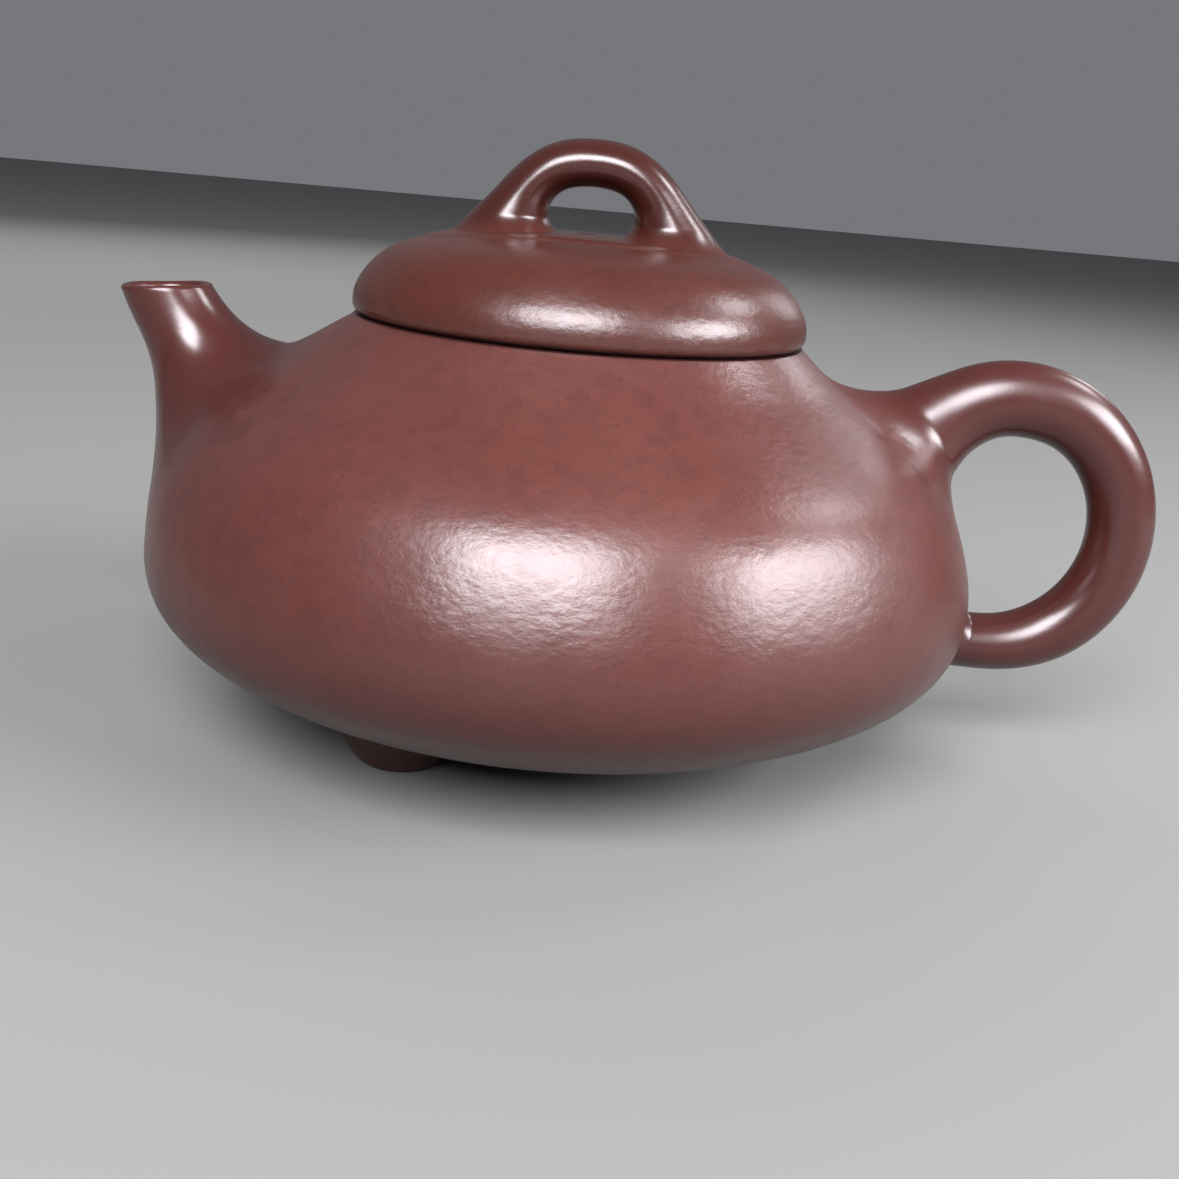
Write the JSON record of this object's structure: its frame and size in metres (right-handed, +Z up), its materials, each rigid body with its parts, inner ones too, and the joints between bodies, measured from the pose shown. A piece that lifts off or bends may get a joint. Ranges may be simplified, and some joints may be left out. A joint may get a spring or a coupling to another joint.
{
  "type": "teapot",
  "caption": "Small round stoneware teapot with short upturned spout, loop handle, nub feet and a lift-off domed lid with a bridge knob.",
  "frame": {"origin": "where the belly's axis meets the table, in the plane of the three feet", "axes": "+Z up along the belly's axis, -X towards the spout, +X towards the handle, -Y the side seen from the front"},
  "size_m": [0.146, 0.114, 0.081],
  "materials": {
    "pot_clay": "satin",
    "lid_clay": "satin"
  },
  "bodies": {
    "pot": {"base_disc": "pot_clay", "body_wall": "pot_clay", "shoulder_disc": "pot_clay", "mouth_ring": "pot_clay", "foot_front_left": "pot_clay", "foot_back_left": "pot_clay", "foot_handle_side": "pot_clay", "spout": "pot_clay", "spout_strainer": "pot_clay", "handle": "pot_clay"},
    "skirt": {"lid_flange": "lid_clay"},
    "lid": {"lid_disc": "lid_clay", "lid_rim": "lid_clay", "lid_knob": "lid_clay"}
  },
  "joints": [
    {"name": "lid_lift", "type": "slide", "parent": "pot", "child": "skirt", "axis": [0, 0, 1], "range_m": [0, 0.06]},
    {"name": "lid_turn", "type": "hinge", "parent": "skirt", "child": "lid", "pos_m": [0, 0, 0.0565], "axis": [0, 0, 1], "continuous": true}
  ]
}
